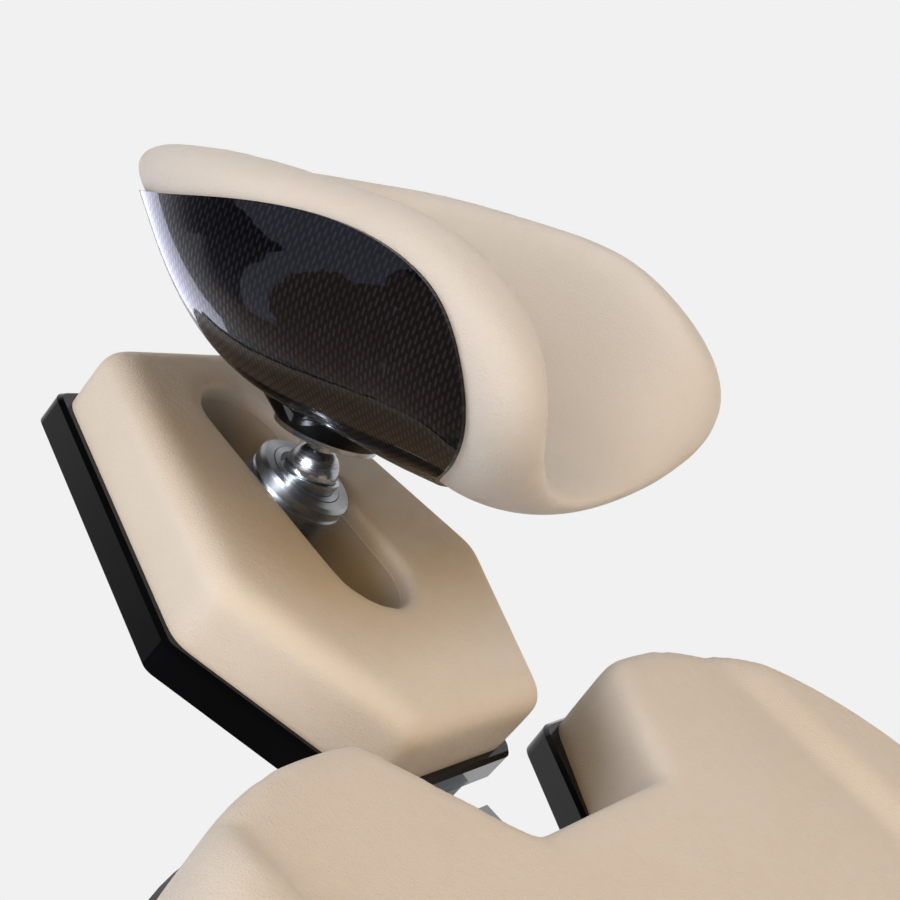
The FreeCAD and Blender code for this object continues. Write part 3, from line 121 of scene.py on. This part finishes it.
FLOOR_LIGHT = ("floor_light", (0.0, 0.0, 1.0), 3.0, (4.0, 4.0), 70.0, WHITE)

# Cards on one tilted plane that the shell mirrors: name, middle, width and height, power, colour
CARD_WAY = (-0.602, 0.622, -0.501)
CARD_ROLL = 45.0
CARD_DISTANCE = 1.3
SHELL_FROM_PLATE = Vector((-0.10, -0.078, 0.133))
SHELL_CARDS = (
    ("shell_window", (0.25, 0.36), (1.1, 0.14), 0.40, WINDOW),
    ("shell_window_top", (1.4, 0.595), (1.2, 0.61), 1.90, WINDOW),
    ("shell_leather", (0.2, -0.105), (2.2, 0.79), 1.90, LEATHER_GLOW),
    ("shell_leather_left", (-0.6, 0.52), (0.6, 0.46), 0.30, LEATHER_GLOW),
)

# Warm lamps that light the cushions alone: name, way from the head plate, power
FILL_DISTANCE = 3.2
FILL_SIZE = (2.0, 2.0)
FILLS = (
    ("fill_foot", (-0.25, -0.95, 0.12), 38.0),
    ("fill_high", (-0.8, -0.2, 0.55), 17.0),
    ("fill_right", (-0.9, -0.4, -0.05), 12.0),
    ("fill_left", (0.9, -0.3, 0.1), 20.0),
    ("fill_head", (-0.35, 0.75, 0.55), 12.0),
)
COVERS = (
    "seat_cushion_cover",
    "leg_cushion_cover",
    "back_cushion_cover",
    "head_cushion_cover",
    "headrest_pad_cover",
    "slot_welt",
)


def slope_frame(place, degrees):
    """A frame at a place whose Y points up the slope and whose Z is the slope's normal."""
    return Matrix.Translation(place) @ Matrix.Rotation(math.radians(degrees), 4, "X")


BACK = slope_frame(joint_places["back_hinge"], BACK_SLOPE)
PLATE = slope_frame(joint_places["head_tilt"], PLATE_SLOPE) @ Matrix.Translation(PLATE_FROM_HINGE)
SOCKET = slope_frame(joint_places["ball_nod"], PLATE_SLOPE)
HEADREST = slope_frame(joint_places["ball_nod"], HEADREST_SLOPE)
LEG = slope_frame(joint_places["leg_hinge"], LEG_SLOPE)


# Sockets of the mix node when it mixes colours
MIX_FACTOR = 0
MIX_FIRST = 6
MIX_SECOND = 7
MIX_RESULT = 2


def node(tree, kind, inputs=None, **settings):
    """A new shader node with its settings, and its inputs set or linked."""
    made = tree.nodes.new(kind)
    for key, value in settings.items():
        setattr(made, key, value)
    for key, value in (inputs or {}).items():
        if isinstance(value, bpy.types.NodeSocket):
            tree.links.new(value, made.inputs[key])
        else:
            made.inputs[key].default_value = value
    return made


def new_material(name, constants):
    """A material, its node tree and its shader, with the shader's constant inputs set."""
    material = bpy.data.materials.new(name)
    material.use_nodes = True
    shader = material.node_tree.nodes["Principled BSDF"]
    for key, value in constants.items():
        shader.inputs[key].default_value = value
    return material, material.node_tree, shader


def place_in(tree, where=None):
    """The shaded point in a section's own frame, or in the table's frame."""
    point = node(tree, "ShaderNodeTexCoord").outputs["Object"]
    if where is None:
        return point
    inverse = where.inverted()
    return node(tree, "ShaderNodeMapping", {
        "Vector": point,
        "Location": inverse.to_translation(),
        "Rotation": inverse.to_euler(),
    }).outputs["Vector"]


def vector_math(tree, operation, first, second=(0.0, 0.0, 0.0)):
    """The outputs of a vector node: its Vector, or its Value where the result is a number."""
    return node(tree, "ShaderNodeVectorMath", {0: first, 1: second}, operation=operation).outputs


def math_of(tree, operation, first, second=0.0):
    return node(tree, "ShaderNodeMath", {0: first, 1: second}, operation=operation).outputs["Value"]


def noise(tree, point, scale, detail=3.0):
    inputs = {"Vector": point, "Scale": scale, "Detail": detail}
    return node(tree, "ShaderNodeTexNoise", inputs).outputs["Fac"]


def ranged(tree, value, low, high, start=0.3, end=0.7):
    """A value spread smoothly from one range to another; noise mostly lies in the usual first range."""
    return node(tree, "ShaderNodeMapRange", {
        "Value": value, "From Min": start, "From Max": end, "To Min": low, "To Max": high,
    }, interpolation_type="SMOOTHSTEP").outputs["Result"]


def mixed_colour(tree, factor, first, second):
    """A colour between two, by a factor from 0 to 1."""
    made = node(tree, "ShaderNodeMix", {
        MIX_FACTOR: factor, MIX_FIRST: (*first, 1.0), MIX_SECOND: (*second, 1.0),
    }, data_type="RGBA")
    return made.outputs[MIX_RESULT]


def scaled(colour, amount):
    return [channel * amount for channel in colour]


def bump(tree, shader, height, distance, strength):
    """Raises the surface by a height between 0 and 1 times a distance."""
    raised = node(tree, "ShaderNodeBump", {"Height": height, "Distance": distance, "Strength": strength})
    tree.links.new(raised.outputs["Normal"], shader.inputs["Normal"])


def leather(name, light, dark):
    """Smooth upholstery leather: pebbled grain, a slow drift of tone, and satin gloss."""
    material, tree, shader = new_material(name, {"Specular IOR Level": 0.38, "Sheen Weight": 0.08})
    point = place_in(tree)
    drift = ranged(tree, noise(tree, point, scale=9.0, detail=4.0), low=0.0, high=1.0)
    tree.links.new(mixed_colour(tree, drift, light, dark), shader.inputs["Base Color"])
    satin = ranged(tree, noise(tree, point, scale=140.0), low=0.44, high=0.56)
    tree.links.new(satin, shader.inputs["Roughness"])
    pebbles = node(tree, "ShaderNodeTexVoronoi", {"Vector": point, "Scale": 620.0},
                   feature="DISTANCE_TO_EDGE").outputs["Distance"]
    pores = noise(tree, point, scale=1500.0, detail=2.0)
    creases = noise(tree, point, scale=210.0, detail=5.0)
    height = 0.0
    for layer, share in ((pebbles, 0.8), (pores, 0.3), (creases, 0.8)):
        height = math_of(tree, "ADD", height, math_of(tree, "MULTIPLY", layer, share))
    bump(tree, shader, height, distance=0.0006, strength=0.6)
    return material


def lacquer(name, colour, roughness, coat):
    """Gloss lacquer with a faint orange-peel."""
    material, tree, shader = new_material(name, {
        "Coat Weight": coat, "Coat Roughness": 0.05, "Specular IOR Level": 0.06,
    })
    point = place_in(tree)
    cloud = ranged(tree, noise(tree, point, scale=22.0), low=0.0, high=1.0)
    tree.links.new(mixed_colour(tree, cloud, colour, scaled(colour, 1.6)), shader.inputs["Base Color"])
    spread = ranged(tree, noise(tree, point, scale=75.0), low=roughness * 0.85, high=roughness * 1.2)
    tree.links.new(spread, shader.inputs["Roughness"])
    bump(tree, shader, noise(tree, point, scale=420.0, detail=2.0), distance=0.0003, strength=0.12)
    return material


def textured(name, colour, roughness, grain, depth):
    """Powder coat or grained plastic: a fine even stipple over a slightly uneven tone."""
    material, tree, shader = new_material(name, {"Specular IOR Level": 0.42})
    point = place_in(tree)
    cloud = ranged(tree, noise(tree, point, scale=14.0, detail=5.0), low=0.0, high=1.0)
    tree.links.new(mixed_colour(tree, cloud, colour, scaled(colour, 0.95)), shader.inputs["Base Color"])
    spread = ranged(tree, noise(tree, point, scale=90.0), low=roughness - 0.05, high=roughness + 0.07)
    tree.links.new(spread, shader.inputs["Roughness"])
    bump(tree, shader, noise(tree, point, grain, detail=2.0), depth, strength=0.4)
    return material


def turned_about(tree, shader, where):
    """Stretches the gleam of a turned piece across its tool marks, which run round the frame's Z."""
    point = node(tree, "ShaderNodeTexCoord").outputs["Object"]
    offset = vector_math(tree, "SUBTRACT", point, where.to_translation())["Vector"]
    axis = where.to_3x3().col[2]
    marks = vector_math(tree, "CROSS_PRODUCT", axis, offset)["Vector"]
    turned = node(tree, "ShaderNodeVectorTransform", {"Vector": marks},
                  vector_type="VECTOR", convert_from="OBJECT", convert_to="WORLD").outputs["Vector"]
    normal = node(tree, "ShaderNodeNewGeometry").outputs["Normal"]
    across = vector_math(tree, "CROSS_PRODUCT", normal, turned)["Vector"]
    tree.links.new(across, shader.inputs["Tangent"])
    shader.inputs["Anisotropic"].default_value = 0.8


def metal(name, colour, roughness, where, drawn, depth, turned=False):
    """Bare metal with fine tool marks, drawn out along the axis whose scale is smallest, or turned."""
    material, tree, shader = new_material(name, {"Metallic": 1.0})
    point = vector_math(tree, "MULTIPLY", place_in(tree, where), drawn)["Vector"]
    marks = noise(tree, point, scale=1.0, detail=4.0)
    tone = ranged(tree, marks, low=0.0, high=1.0)
    tree.links.new(mixed_colour(tree, tone, colour, scaled(colour, 0.78)), shader.inputs["Base Color"])
    spread = ranged(tree, marks, low=roughness * 0.75, high=roughness * 1.35)
    tree.links.new(spread, shader.inputs["Roughness"])
    bump(tree, shader, marks, depth, strength=0.5)
    if turned:
        turned_about(tree, shader, where)
    return material


def tows(tree, point):
    """1 on the tows of the weave, which carry the painted sheen, and 0 between them, with each column half a tow
    out of step.
    """
    split = node(tree, "ShaderNodeSeparateXYZ", {"Vector": point}).outputs
    depth = math_of(tree, "SUBTRACT", WEAVE_CENTRE, split["Z"])
    turn = math_of(tree, "ARCTAN2", split["X"], depth)
    column = math_of(tree, "ADD", math_of(tree, "DIVIDE", split["Y"], TOW_PITCH), WEAVE_OFFSET)
    odd = math_of(tree, "MODULO", math_of(tree, "FLOOR", column), 2.0)
    step = math_of(tree, "MULTIPLY", odd, 0.5)
    row = math_of(tree, "ADD", math_of(tree, "MULTIPLY", turn, WEAVE_CENTRE / TOW_LENGTH), step)
    across = ranged(tree, math_of(tree, "PINGPONG", column, 0.5), 0.0, 1.0, start=0.16, end=0.42)
    along = ranged(tree, math_of(tree, "PINGPONG", row, 0.5), 0.0, 1.0, start=0.10, end=0.28)
    above_boss = ranged(tree, split["Z"], 0.0, 1.0, start=BOSS_TOP, end=BOSS_TOP + TOW_LENGTH)
    return math_of(tree, "MULTIPLY", math_of(tree, "MULTIPLY", across, along), above_boss)


def carbon():
    """Woven carbon under clear lacquer, with the sheen of its tows painted into the base colour."""
    material, tree, shader = new_material("carbon", {
        "Coat Weight": 0.45, "Coat Roughness": 0.015, "Specular IOR Level": 0.06,
    })
    point = place_in(tree, HEADREST)
    tow = tows(tree, point)
    glitter = ranged(tree, noise(tree, point, scale=60.0), low=0.55, high=1.0)
    painted_tow_sheen = math_of(tree, "MULTIPLY", tow, glitter)
    # Painted sheen: the tows get a paler base colour, flecked by noise, in place of the light their fibres catch
    tree.links.new(mixed_colour(tree, painted_tow_sheen, TOW_GAP, TOW_SHINE), shader.inputs["Base Color"])
    tree.links.new(ranged(tree, tow, 0.5, 0.35, start=0.0, end=1.0), shader.inputs["Roughness"])
    bump(tree, shader, tow, distance=0.0002, strength=0.3)
    return material


def rubber(name, colour):
    """Tyre rubber with moulding haze."""
    material, tree, shader = new_material(name, {"Specular IOR Level": 0.3})
    point = place_in(tree)
    haze = ranged(tree, noise(tree, point, scale=60.0, detail=6.0), 0.0, 1.0, start=0.45, end=0.75)
    tree.links.new(mixed_colour(tree, haze, colour, scaled(colour, 1.7)), shader.inputs["Base Color"])
    tree.links.new(ranged(tree, haze, 0.62, 0.8, start=0.0, end=1.0), shader.inputs["Roughness"])
    bump(tree, shader, noise(tree, point, scale=900.0, detail=2.0), distance=0.0004, strength=0.4)
    return material


# Scales that draw tool marks out along or round an axis
ROUND_STEM = (60.0, 60.0, 900.0)
ROUND_SOCKET = (40.0, 40.0, 1600.0)
UP_COLUMN = (900.0, 900.0, 8.0)
ROUND_BUSH = (40.0, 1600.0, 40.0)

materials = {
    "upholstery": leather("upholstery", (0.58, 0.53, 0.47), (0.56, 0.508, 0.445)),
    "headrest_leather": leather("headrest_leather", (0.505, 0.48, 0.45), (0.49, 0.463, 0.43)),
    "tray_lacquer": lacquer("tray_lacquer", (0.0015, 0.0015, 0.0018), roughness=0.18, coat=0.5),
    "carbon_lacquer": carbon(),
    "polished_steel": metal("polished_steel", (0.40, 0.41, 0.43), 0.24, HEADREST, ROUND_STEM, 0.00004),
    "brushed_steel": metal("brushed_steel", (0.40, 0.41, 0.43), 0.34, SOCKET, ROUND_SOCKET, 0.00006, True),
    "frame_paint": textured("frame_paint", (0.44, 0.45, 0.46), 0.45, grain=1300.0, depth=0.0004),
    "column_aluminium": metal("column_aluminium", (0.66, 0.67, 0.68), 0.32, None, UP_COLUMN, 0.00008),
    "cover_plastic": textured("cover_plastic", (0.70, 0.70, 0.68), 0.5, grain=1500.0, depth=0.0003),
    "drive_housing": textured("drive_housing", (0.16, 0.165, 0.175), 0.5, grain=1100.0, depth=0.0004),
    "dark_plastic": textured("dark_plastic", (0.018, 0.018, 0.019), 0.45, grain=1100.0, depth=0.0004),
    "bush_brass": metal("bush_brass", (0.66, 0.47, 0.20), 0.28, BACK, ROUND_BUSH, 0.00008),
    "pedal_paint": textured("pedal_paint", (0.03, 0.03, 0.032), 0.5, grain=1000.0, depth=0.0006),
    "tyre": rubber("tyre", (0.035, 0.035, 0.037)),
}


def dress_nodes():
    """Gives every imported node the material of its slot."""
    for part in frame["record"]["subparts"]:
        slots = nodes[part["node"]].data.materials
        slots.clear()
        slots.append(materials[part["material_slot"]])


def add_object(name, data):
    made = bpy.data.objects.new(name, data)
    bpy.context.scene.collection.objects.link(made)
    return made


def final_mesh(obj):
    """A mesh of an object as its modifiers or its curve make it."""
    graph = bpy.context.evaluated_depsgraph_get()
    return bpy.data.meshes.new_from_object(obj.evaluated_get(graph))


def finish_surface(mesh, slot):
    """Shades a mesh smoothly and gives it a slot's material."""
    for face in mesh.polygons:
        face.use_smooth = True
    mesh.materials.clear()
    mesh.materials.append(materials[slot])


def even_mesh(obj, voxel):
    """Gives an object a mesh of small even faces."""
    remesh = obj.modifiers.new("even", "REMESH")
    remesh.mode = "VOXEL"
    remesh.voxel_size = voxel
    mesh = final_mesh(obj)
    obj.modifiers.clear()
    obj.data = mesh


def sink(mesh, depth):
    """Carries a cushion's underside down into its tray, so that only full sides stand above the tray."""
    floor = min(vertex.co.z for vertex in mesh.vertices)
    for vertex in mesh.vertices:
        if vertex.co.z < floor + depth:
            vertex.co.z -= depth


def smooth(mesh, rounds):
    """Rounds edges by drawing each point towards its neighbours."""
    work = bmesh.new()
    work.from_mesh(mesh)
    for _ in range(rounds):
        bmesh.ops.smooth_vert(work, verts=work.verts, factor=SMOOTHING,
                              use_axis_x=True, use_axis_y=True, use_axis_z=True)
    work.to_mesh(mesh)
    work.free()


def swell(mesh, sideways, upwards):
    """Moves the surface outwards, by one distance to the sides and by another up and down."""
    ways = [vertex.normal.copy() for vertex in mesh.vertices]
    for vertex, way in zip(mesh.vertices, ways):
        vertex.co += Vector((sideways * way.x, sideways * way.y, upwards * way.z))


def cushion(node_name, body, where, voxel, rounds, swelling, slot):
    """A taut cushion in the place of a packed one: a little fuller, with its edges drawn round."""
    obj = add_object(node_name + "_cover", nodes[node_name].data.copy())
    obj.data.transform(where.inverted())
    even_mesh(obj, voxel)
    if slot == "upholstery":
        sink(obj.data, SINK_DEPTH)
    smooth(obj.data, rounds)
    swell(obj.data, *swelling)
    obj.data.transform(where)
    finish_surface(obj.data, slot)
    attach(obj, body)
    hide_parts(node_name)


def add_cushions():
    """The cushions: frame, size of faces, rounds of smoothing, fullness sideways and up, and slot."""
    level = Matrix.Identity(4)
    cushion("seat_cushion", "seat", level, 0.004, 14, (0.002, 0.001), "upholstery")
    cushion("leg_cushion", "leg", LEG, 0.004, 14, (0.002, 0.001), "upholstery")
    cushion("back_cushion", "backrest", BACK, 0.003, 12, (0.004, 0.004), "upholstery")
    cushion("head_cushion", "head_plate", PLATE, 0.002, 16, (0.0015, 0.0), "upholstery")
    cushion("headrest_pad", "headrest", HEADREST, 0.0025, 70, (0.0005, 0.0005), "headrest_leather")


def slot_path():
    """Points round the head plate's slot, in the plate's frame."""
    half_width = SLOT_HALF_WIDTH - SEAM_INSET
    height = PLATE_TOP - SEAM_DROP
    points = []
    for centre, start in ((SLOT_HEAD - SLOT_HALF_WIDTH, 0.0), (SLOT_HALF_WIDTH - SLOT_NECK, math.pi)):
        for step in range(SEAM_STEPS + 1):
            turn = start + math.pi * step / SEAM_STEPS
            across = half_width * math.cos(turn)
            along = centre + half_width * math.sin(turn)
            points.append(Vector((across, along, height)))
    return points


def add_slot_seam():
    """The fine welt where the plate's top cover meets the lining of its slot."""
    curve = bpy.data.curves.new("slot_seam", "CURVE")
    curve.dimensions = "3D"
    curve.bevel_depth = SEAM_RADIUS
    curve.bevel_resolution = 2
    points = slot_path()
    spline = curve.splines.new("POLY")
    spline.use_cyclic_u = True
    spline.points.add(len(points) - 1)
    for knot, point in zip(spline.points, points):
        knot.co = (*(PLATE @ point), 1.0)
    path = add_object("slot_seam", curve)
    mesh = final_mesh(path)
    bpy.data.objects.remove(path)
    seam = add_object("slot_welt", mesh)
    finish_surface(mesh, "upholstery")
    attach(seam, "head_plate")


def seen_directly(tree):
    """1 for rays from the camera or through glass, and 0 for rays that light the object."""
    path = node(tree, "ShaderNodeLightPath").outputs
    return math_of(tree, "MAXIMUM", path["Is Camera Ray"], path["Is Transmission Ray"])


def seen_in_gloss(tree):
    return node(tree, "ShaderNodeLightPath").outputs["Is Glossy Ray"]


def mixed_shader(tree, factor, first, second):
    inputs = {0: factor, 1: first.outputs[0], 2: second.outputs[0]}
    return node(tree, "ShaderNodeMixShader", inputs)


def add_floor():
    """A pale floor that keeps the shadow near the table and turns into the backdrop further out."""
    bpy.ops.mesh.primitive_plane_add(size=FLOOR_SIZE)
    floor = bpy.context.object
    floor.name = "floor"
    material, tree, shader = new_material("floor", {
        "Base Color": (FLOOR_GREY, FLOOR_GREY, FLOOR_GREY, 1.0), "Roughness": 0.9,
    })
    distance = vector_math(tree, "LENGTH", place_in(tree))["Value"]
    far = ranged(tree, distance, 0.0, 1.0, start=1.4, end=2.6)
    paper = node(tree, "ShaderNodeEmission", {"Color": (BACKDROP, BACKDROP, BACKDROP, 1.0)})
    amount = math_of(tree, "MULTIPLY", far, seen_directly(tree))
    plain = mixed_shader(tree, amount, shader, paper)
    ahead = vector_math(tree, "DOT_PRODUCT", place_in(tree), BACKDROP_WAY)["Value"]
    strength = ranged(tree, ahead, FLOOR_GLOW, BACKDROP, start=0.5, end=2.0)
    dim = node(tree, "ShaderNodeEmission", {"Color": (*WHITE, 1.0), "Strength": strength})
    shown = mixed_shader(tree, seen_in_gloss(tree), plain, dim)
    tree.links.new(shown.outputs[0], tree.nodes["Material Output"].inputs["Surface"])
    floor.data.materials.append(material)


def add_world():
    """A white backdrop, weak light all round, and for gloss a room that is dim away from the backdrop."""
    world = bpy.data.worlds.new("studio")
    bpy.context.scene.world = world
    world.use_nodes = True
    tree = world.node_tree
    tree.nodes.clear()
    shown = node(tree, "ShaderNodeBackground", {"Color": (BACKDROP, BACKDROP, BACKDROP, 1.0)})
    light = node(tree, "ShaderNodeBackground", {"Color": (*AMBIENT, 1.0), "Strength": AMBIENT_STRENGTH})
    way = node(tree, "ShaderNodeTexCoord").outputs["Generated"]
    ahead = vector_math(tree, "DOT_PRODUCT", way, BACKDROP_WAY)["Value"]
    beside = vector_math(tree, "DOT_PRODUCT", way, PANEL_WAY)["Value"]
    wall = ranged(tree, ahead, ROOM_GLOW, BACKDROP, start=0.02, end=0.4)
    panel = ranged(tree, beside, 0.0, PANEL_GLOW, start=0.90, end=0.94)
    gleam = math_of(tree, "MAXIMUM", wall, panel)
    room = node(tree, "ShaderNodeBackground", {"Color": (*WHITE, 1.0), "Strength": gleam})
    unseen = mixed_shader(tree, seen_in_gloss(tree), light, room)
    mix = mixed_shader(tree, seen_directly(tree), unseen, shown)
    output = tree.nodes.new("ShaderNodeOutputWorld")
    tree.links.new(mix.outputs[0], output.inputs["Surface"])


def lamp_turn(way, roll):
    """The turn of a lamp that faces a target from one way, rolled by some degrees."""
    facing = Vector(way).to_track_quat("Z", "Y").to_matrix()
    return facing @ Matrix.Rotation(math.radians(roll), 3, "Z")


def add_lamp(target, name, way, distance, size, power, colour, roll=0.0):
    """A soft lamp, so wide and so high, that faces a target from one way."""
    lamp = bpy.data.lights.new(name, "AREA")
    lamp.shape = "RECTANGLE"
    lamp.size, lamp.size_y = size
    lamp.energy = power
    lamp.color = colour
    made = add_object(name, lamp)
    made.location = target + distance * Vector(way).normalized()
    made.rotation_euler = lamp_turn(way, roll).to_euler()
    made.visible_camera = False
    return made


def light_only(lamp, pieces):
    """Keeps a lamp's light to some of the pieces."""
    lit = bpy.data.collections.new(lamp.name)
    for piece in pieces:
        lit.objects.link(piece)
    lamp.light_linking.receiver_collection = lit


def gleam_only(lamp, pieces):
    """Shows a lamp in the gloss of some of the pieces and nowhere else."""
    lamp.visible_diffuse = False
    light_only(lamp, pieces)


def add_shell_cards(target):
    """Dim cards that the shell's lacquer mirrors: a window, and brown leather out of sight."""
    turn = lamp_turn(CARD_WAY, CARD_ROLL)
    for name, middle, size, power, colour in SHELL_CARDS:
        place = target + SHELL_FROM_PLATE + turn @ Vector((*middle, 0.0))
        card = add_lamp(place, name, CARD_WAY, CARD_DISTANCE, size, power, colour, CARD_ROLL)
        gleam_only(card, [nodes["headrest_shell"]])


def add_fill(target):
    """Warm light from all round on the cushions, as if thrown back by more leather out of sight."""
    covers = [bpy.data.objects[name] for name in COVERS]
    for name, way, power in FILLS:
        fill = add_lamp(target, name, way, FILL_DISTANCE, FILL_SIZE, power, WARM)
        fill.visible_glossy = False
        light_only(fill, covers)


def add_lights():
    """The studio's lamps, all placed from the head plate."""
    target = PLATE.to_translation()
    for setting in ROOM_LAMPS:
        lamp = add_lamp(target, *setting)
        lamp.visible_glossy = lamp.name == SHOWN_IN_GLOSS
    gleam_only(add_lamp(target, *STEEL_GLEAM), [nodes[name] for name in BALL_JOINT])
    gleam_only(add_lamp(target, *SHELL_EDGE), [nodes["headrest_shell"]])
    above = add_lamp(target, *FLOOR_LIGHT)
    above.visible_glossy = False
    light_only(above, [bpy.data.objects["floor"]])
    add_shell_cards(target)
    add_fill(target)


def add_camera():
    """The photograph's camera."""
    data = bpy.data.cameras.new("camera")
    data.lens = CAMERA_LENS
    data.sensor_width = CAMERA_SENSOR
    camera = add_object("camera", data)
    camera.location = PLATE.to_translation() + CAMERA_FROM_PLATE
    camera.rotation_euler = (math.radians(90.0 - CAMERA_DIP), 0.0, math.radians(-CAMERA_AZIMUTH))
    bpy.context.scene.camera = camera


dress_nodes()
add_cushions()
add_slot_seam()
add_floor()
add_world()
add_lights()
add_camera()
bpy.context.scene.view_settings.view_transform = "Standard"
